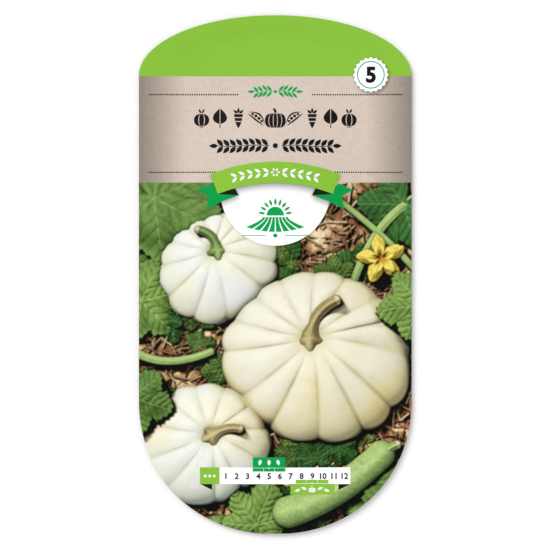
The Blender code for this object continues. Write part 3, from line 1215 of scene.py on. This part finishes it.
def pumpkin_icon():
    """Five ribs side by side under a short bent stalk."""
    cuts = ((-1, -0.66), (-0.59, -0.24), (-0.17, 0.17), (0.24, 0.59), (0.66, 1))
    right = smooth_line([(0.06, 0.25), (0.05, 0.36), (-0.03, 0.48)], 4)
    left = smooth_line([(-0.14, 0.43), (-0.06, 0.35), (-0.06, 0.25)], 4)
    return [*slices(0.50, -0.47, 0.22, cuts, 0.45), right + left]


def carrot_icon():
    """A tapered root hung from three fronds, with two cuts across it."""
    root = []
    for low, high in ((-0.50, -0.20), (-0.15, 0.0), (0.05, 0.20)):
        near, far = carrot_width(low), carrot_width(high)
        root.append([(-near, low), (near, low), (far, high), (-far, high)])
    return [*root, *fronds(0.0, 0.19, 0.06, 0.28, 0.13, (42, 90, 138))]


def carrot_width(y):
    return 0.03 + 0.20 * math.sqrt((y + 0.5) / 0.7)


def pod_icon():
    """An open pea pod: two curved lips with four peas between them."""
    loops = []
    for x, radius in ((-0.29, 0.066), (-0.10, 0.08), (0.10, 0.08), (0.29, 0.066)):
        loops.append(circle(x, pod_middle(x), radius, 14))
    along = [-0.52 + 0.065 * i for i in range(17)]
    back = [0.42 - 0.07 * i for i in range(13)]
    for rise in (0.21, -0.21):
        lip = [(x, rise) for x in along] + [(x, rise * 0.60) for x in back]
        loops.append([(x, pod_middle(x) + height * math.cos(x * 2.6)) for x, height in lip])
    return [moved(loop, 0, 0, math.radians(38)) for loop in loops]


def pod_middle(x):
    return 0.06 - 0.45 * x * x


def leaf_icon():
    """An upright leaf in two halves either side of its rib, on a short stalk."""
    right = smooth_line([(0.02, -0.30), (0.25, -0.20), (0.36, 0.00), (0.27, 0.24), (0.02, 0.50)], 5)
    return [right, mirrored(right), rectangle(-0.025, 0.025, -0.5, -0.32)]


def bulb_icon():
    """A round onion in three coats, with two shoots and a few roots."""
    coats = slices(0.39, -0.41, 0.22, ((-1, -0.44), (-0.32, 0.32), (0.44, 1)), 0.75)
    roots = [rectangle(x - 0.015, x + 0.015, -0.50, -0.42) for x in (-0.07, 0.0, 0.07)]
    return [*coats, *roots, *fronds(0.0, 0.19, 0.06, 0.27, 0.10, (64, 116))]


TITLE_Y, TITLE_PITCH, TITLE_SIZE = 48.8, 5.75, 6.5
SUBTITLE_Y, SPRIG_Y = 40.1, 57.1
LEAF_TURN = math.radians(46)


def branch(reach, leaves, leaf, sway):
    """A fine swaying branch from near 0, 0 to the right, with pairs of leaves along it and one at its end."""
    length, width = leaf
    start, end = reach * 0.09, reach - length
    thick = width * 0.075
    shares = [i / 32 for i in range(33)]
    line = [(start + (end - start) * share, sway * math.sin(share * 2 * math.pi)) for share in shares]
    shapes = [[(x, y + thick) for x, y in line] + [(x, y - thick) for x, y in reversed(line)]]
    for i in range(leaves):
        x, y = line[round((i + 0.3) / leaves * 32)]
        for side in (-1, 1):
            shapes.append(moved(blade(length, width), x, y + side * (thick + 0.06), side * LEAF_TURN))
    shapes.append(moved(blade(length, width), end + 0.08, line[-1][1]))
    return shapes


def both_sides(shapes, y):
    """The shapes to the right of the middle line and their mirror images, at a height on the packet."""
    right = [[(px, py + y) for px, py in loop] for loop in shapes]
    return right + [mirrored(loop) for loop in right]


def garland(y, reach, leaves):
    """A leafy branch that runs out both ways from a berry, at a height on the packet."""
    return [circle(0.0, y, 0.8, 20), *both_sides(branch(reach, leaves, (2.8, 1.35), 0.2), y)]


def sprig(y):
    """A small garland with finer leaves."""
    return [circle(0.0, y, 0.5, 16), *both_sides(branch(8.7, 4, (2.4, 0.86), 0.25), y)]


def add_titles():
    """A row of vegetable silhouettes over a leafy branch, and a green sprig above them."""
    ink = ink_material("title_ink", INK)
    shapes = [moved(loop, 0.0, TITLE_Y, 0.0, TITLE_SIZE) for loop in pumpkin_icon()]
    for number, icon in enumerate((pod_icon, carrot_icon, leaf_icon, bulb_icon), start=1):
        placed = [moved(loop, number * TITLE_PITCH, 0.0, 0.0, TITLE_SIZE * 0.94) for loop in icon()]
        shapes += both_sides(placed, TITLE_Y)
    print_shapes("title_silhouettes_print", filled_all(shapes), 1, ink)
    print_shapes("title_branch_print", filled_all(garland(SUBTITLE_Y, 20.6, 8)), 1, ink)
    print_shapes("sprig_print", filled_all(sprig(SPRIG_Y)), 1, ink_material("sprig_green", DARK_GREEN))


RIBBON_MARKS = 5
RIBBON_MARK_STEP = math.radians(2.75)


def add_ribbon_marks():
    """White leaves that run out along the ribbon from a small flower."""
    radius = (arc_radius(*RIBBON_TOP) + arc_radius(*RIBBON_BOTTOM)) / 2
    centre = (RIBBON_TOP[2] + RIBBON_BOTTOM[2]) / 2 - radius
    shapes = []
    for i in range(RIBBON_MARKS):
        turn = RIBBON_MARK_STEP * (i + 0.85)
        x, y = radius * math.sin(turn), centre + radius * math.cos(turn)
        for side in (-1, 1):
            shapes.append(moved(blade(2.2, 0.9), x, y + side * 0.14, -turn + side * math.radians(36)))
    shapes += [mirrored(loop) for loop in shapes]
    shapes += fronds(0.0, centre + radius, 0.5, 1.0, 0.6, range(0, 360, 60))
    print_shapes("ribbon_leaves_print", filled_all(shapes), 6, ink_material("ribbon_white", MARK_WHITE))


EMBLEM_Y, SUN_RADIUS, RAYS = 18.4, 2.7, 9
FIELD_WIDTH, FIELD_DEPTH, FURROWS = 9.4, 4.6, 4


def add_emblem():
    """The plaque's green emblem: a sun that rises over furrows, above a fine line with a diamond."""
    shapes = [circle(0.0, EMBLEM_Y, SUN_RADIUS)[:25]]
    rays = [180 * (i + 0.5) / RAYS for i in range(RAYS)]
    shapes += fronds(0.0, EMBLEM_Y, SUN_RADIUS + 0.5, 2.2, 0.75, rays)
    strip = FIELD_WIDTH / FURROWS
    for side in (-1, 1):
        shapes += [furrow(side, strip * (i + 0.12), strip * (i + 0.86)) for i in range(FURROWS)]
    rule = rectangle(3.0, 10.4, 12.08, 12.26)
    shapes += [rule, mirrored(rule), [(0.0, 11.4), (0.85, 12.17), (0.0, 12.94), (-0.85, 12.17)]]
    print_shapes("plaque_emblem_print", filled_all(shapes), 4, ink_material("emblem_green", DARK_GREEN))


def furrow(side, near, far, steps=8):
    """A curved strip of field between two furrows, from the skyline down and outwards."""
    edges = []
    places = [i / steps for i in range(steps + 1)]
    for edge in (near, far):
        depth = FIELD_DEPTH * (1 - 0.35 * (edge / FIELD_WIDTH) ** 2)
        edges.append([(side * edge * (0.42 + 0.58 * t**1.5), EMBLEM_Y - 0.5 - depth * t) for t in places])
    return edges[0] + edges[1][::-1]


STRIP_LEFT, STRIP_RIGHT, STRIP_LOW, STRIP_HIGH = -17.4, 23.4, -65.3, -60.1
FOLD_WEDGE = [(-23.4, STRIP_LOW), (-19.7, STRIP_LOW - 1.8), (-19.7, STRIP_LOW)]
MONTH_X, MONTH_PITCH, MONTH_Y, MONTH_HEIGHT = -15.4, 3.37, -62.8, 1.9
SOWING_MIDDLE, HARVEST_MIDDLE, SQUARE_MIDDLE = -1.95, 11.47, -20.45
SOWING_GAP, HARVEST_GAP = (-60.28, -60.16), (-65.225, -65.075)
BAR_PITCH, BAR_WIDTH = 3.43, 3.31


def add_calendar():
    """The strip of months as plain numbers, with the sowing and harvest months marked."""
    ink = ink_material("month_ink", INK)
    strip = filled([rectangle(STRIP_LEFT, STRIP_RIGHT, STRIP_LOW, STRIP_HIGH)])
    print_shapes("month_strip_print", strip, 2, ink_material("strip_white", LABEL_WHITE, mottle=0.01))
    print_shapes("strip_folds_print", filled_all([FOLD_WEDGE, mirrored(FOLD_WEDGE)]), 2, ink)
    tag = rectangle(-7.0, 3.1, SOWING_GAP[1], -56.88)
    marks = filled_all([tag, *month_bars(SOWING_MIDDLE, -61.34, SOWING_GAP[0])])
    print_shapes("sowing_marks_print", marks, 3, ink_material("sowing_green", DARK_GREEN))
    tag = rectangle(4.74, 18.34, -68.5, HARVEST_GAP[0])
    square = rectangle(-23.5, STRIP_LEFT, STRIP_LOW, STRIP_HIGH)
    marks = filled_all([tag, square, *month_bars(HARVEST_MIDDLE, HARVEST_GAP[1], -63.97)])
    print_shapes("harvest_marks_print", marks, 3, ink_material("strip_green", GREEN))
    numbers = bmesh.new()
    for month in range(1, 13):
        digits = text_faces(str(month), MONTH_HEIGHT, 0.03)
        shift = (MONTH_X + MONTH_PITCH * (month - 1), MONTH_Y, 0)
        bmesh.ops.translate(digits, verts=digits.verts, vec=shift)
        joined = bpy.data.meshes.new("digits")
        digits.to_mesh(joined)
        digits.free()
        numbers.from_mesh(joined)
        bpy.data.meshes.remove(joined)
    print_shapes("month_numbers_print", numbers, 3, ink)


def add_tag_marks():
    """White signs on the tags: seeds for sowing, a squash between leaves for harvest, and three dots."""
    shapes = []
    for i in (-1, 0, 1):
        shapes.append(moved(blade(1.9, 1.05), SOWING_MIDDLE + 2.6 * i, -57.6, math.radians(-90 + 14 * i)))
        shapes.append(circle(SQUARE_MIDDLE + 1.4 * i, MONTH_Y, 0.45, 12))
    for x, y, tip in ((SOWING_MIDDLE, SOWING_GAP[0], -0.30), (HARVEST_MIDDLE, HARVEST_GAP[1], 0.30)):
        shapes.append([(x - 0.36, y), (x + 0.36, y), (x, y + tip)])
    shapes += [moved(loop, HARVEST_MIDDLE, -66.9, 0.0, 2.2) for loop in pumpkin_icon()]
    for distance, turn in ((1.7, 20), (3.7, -20)):
        leaf = moved(blade(1.9, 0.85), distance, -66.95, math.radians(turn))
        shapes += [[(x + HARVEST_MIDDLE, y) for x, y in half] for half in (leaf, mirrored(leaf))]
    print_shapes("tag_signs_print", filled_all(shapes), 4, ink_material("tag_white", MARK_WHITE))


def month_bars(middle, low, high):
    """Three bars side by side, one for each marked month."""
    places = (middle + BAR_PITCH * i for i in (-1, 0, 1))
    return [rectangle(x - BAR_WIDTH / 2, x + BAR_WIDTH / 2, low, high) for x in places]


GUIDE_Y, GUIDE_PITCH, GUIDE_RADIUS = 12.0, 22.0, 7.0


def add_back_print():
    """The back's print: dotted rules open round garlands, and a seedling, a drop and a squash in discs."""
    ink = ink_material("back_ink", INK)
    print_shapes("back_rules_print", rule_dots(), 1, ink, on_back=True)
    print_shapes("back_branch_print", filled_all(garland(RIBBON_RULE_Y, 16.5, 6)), 1, ink, on_back=True)
    half_drop = smooth_line([(0.0, -0.5), (0.26, -0.42), (0.34, -0.16), (0.22, 0.14), (0.0, 0.55)], 5)
    drop = half_drop + mirrored(half_drop)[1:-1]
    signs = (fronds(0.0, -0.4, 0.2, 0.62, 0.3, (48, 90, 132)), [drop], pumpkin_icon())
    discs = []
    for x, sign in zip((-GUIDE_PITCH, 0.0, GUIDE_PITCH), signs):
        holes = [moved(loop, x, GUIDE_Y, 0.0, 9.0) for loop in sign]
        discs.append([circle(x, GUIDE_Y, GUIDE_RADIUS), *holes])
    shapes = filled(*([loop] for loop in sprig(RULE_Y)), *discs)
    print_shapes("back_guide_print", shapes, 1, ink_material("back_green", DARK_GREEN), on_back=True)


# The packet itself


def add_packet():
    """The two sheets and the film of glue between them round the pocket."""
    rings = sheet_rings()
    white = bare_paper_material("paper_white", PAPER_WHITE)
    tan = bare_paper_material("paper_back", BACK_TAN, GREEN)
    front = sheet_mesh("front_paper", rings, front_inside, front_face, edge_material=1)
    add_piece("front_paper", front, [front_print_material(), white], ["front_sheet"])
    back = sheet_mesh("back_paper", rings, underside, back_inside, edge_material=0)
    add_piece("back_paper", back, [white, tan], ["back_sheet"])
    sealed = rings[POCKET_RINGS + 1:-1]
    glue = sheet_mesh("glue_film", sealed, glue_low, glue_high, edge_material=0, capped=False)
    yellow = ink_material("glue_film", GLUE_YELLOW, roughness=0.3)
    add_piece("glue_film", glue, [yellow, yellow], ["seal_glue"])


def glue_low(x, y):
    return back_inside(x, y) + (PRESSED_BOND - GLUE_THICKNESS) / 2


def glue_high(x, y):
    return glue_low(x, y) + GLUE_THICKNESS


SEED_DARK, SEED_LIGHT = (0.76, 0.62, 0.38, 1.0), (0.84, 0.76, 0.58, 1.0)


def dress_seeds():
    """The seeds keep their CAD shapes and get a dry, faintly streaked seed coat."""
    nodes = Nodes("seed_coat", 0.55)
    streaks = nodes.noise(0.0007, detail=3, stretch=(4, 1, 1))
    blots = nodes.noise(0.003, detail=2)
    colour = nodes.mix(nodes.vary(blots, 0.5, 0.5), SEED_DARK, SEED_LIGHT)
    coat = nodes.finish(nodes.mottle(colour, (streaks, 0.08)), [streaks, blots], depth=0.00006)
    for name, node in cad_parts.items():
        if name.startswith("seed_"):
            node.data.materials.clear()
            node.data.materials.append(coat)


# Floor, light and camera


FLOOR_HALF, FLOOR_Z = 2.0, -0.00005


def add_floor():
    """A plain pale floor, just below the print on the packet's back."""
    mesh = bpy.data.meshes.new("floor")
    corners = [(x, y, 0) for x, y in rectangle(-FLOOR_HALF, FLOOR_HALF, -FLOOR_HALF, FLOOR_HALF)]
    mesh.from_pydata(corners, [], [(0, 1, 2, 3)])
    floor = bpy.data.objects.new("floor", mesh)
    floor.location.z = FLOOR_Z
    bpy.context.scene.collection.objects.link(floor)
    nodes = Nodes("floor", 0.9, specular=0.0)
    mottled = nodes.mottle((0.83, 0.83, 0.83), (nodes.noise(0.2), 0.005))
    mesh.materials.append(nodes.finish(mottled, [nodes.noise(0.01)], strength=0.02))


def add_light():
    """An even pale sky, and a broad soft lamp that throws the faint shadow down and to the right."""
    world = bpy.data.worlds.new("studio")
    bpy.context.scene.world = world
    world.use_nodes = True
    background = world.node_tree.nodes["Background"]
    background.inputs["Color"].default_value = (1.0, 1.0, 1.0, 1.0)
    background.inputs["Strength"].default_value = 0.86
    lamp = bpy.data.lights.new("key", "SUN")
    lamp.energy = 1.75
    lamp.angle = math.radians(38)
    key = bpy.data.objects.new("key", lamp)
    key.rotation_euler = (math.radians(-34), math.radians(-34), 0)
    bpy.context.scene.collection.objects.link(key)


FRAME_SIZE = 171.5
LENS = 150.0
SENSOR = 36.0
CAMERA_X, CAMERA_Y = -0.094, -0.11


def add_camera():
    """Straight above, far off, with the frame's width as wide as the photo's at about the packet's height."""
    data = bpy.data.cameras.new("camera")
    data.lens = LENS
    data.sensor_width = SENSOR
    data.clip_start = 0.01
    data.clip_end = 20.0
    camera = bpy.data.objects.new("camera", data)
    top = CAD_BOX[1][2] / MM
    height = FRAME_SIZE * LENS / SENSOR + top * 0.3
    camera.location = (CAMERA_X * MM, CAMERA_Y * MM, height * MM)
    bpy.context.scene.collection.objects.link(camera)
    bpy.context.scene.camera = camera
    bpy.context.scene.view_settings.view_transform = "Standard"


add_camera()
add_light()
add_floor()
add_packet()
add_picture()
add_ribbon()
add_ribbon_marks()
add_emblem()
add_seal()
print_shapes("dotted_rules_print", rule_dots(), 1, ink_material("rule_ink", RULE_INK))
add_titles()
add_calendar()
add_tag_marks()
add_back_print()
dress_seeds()
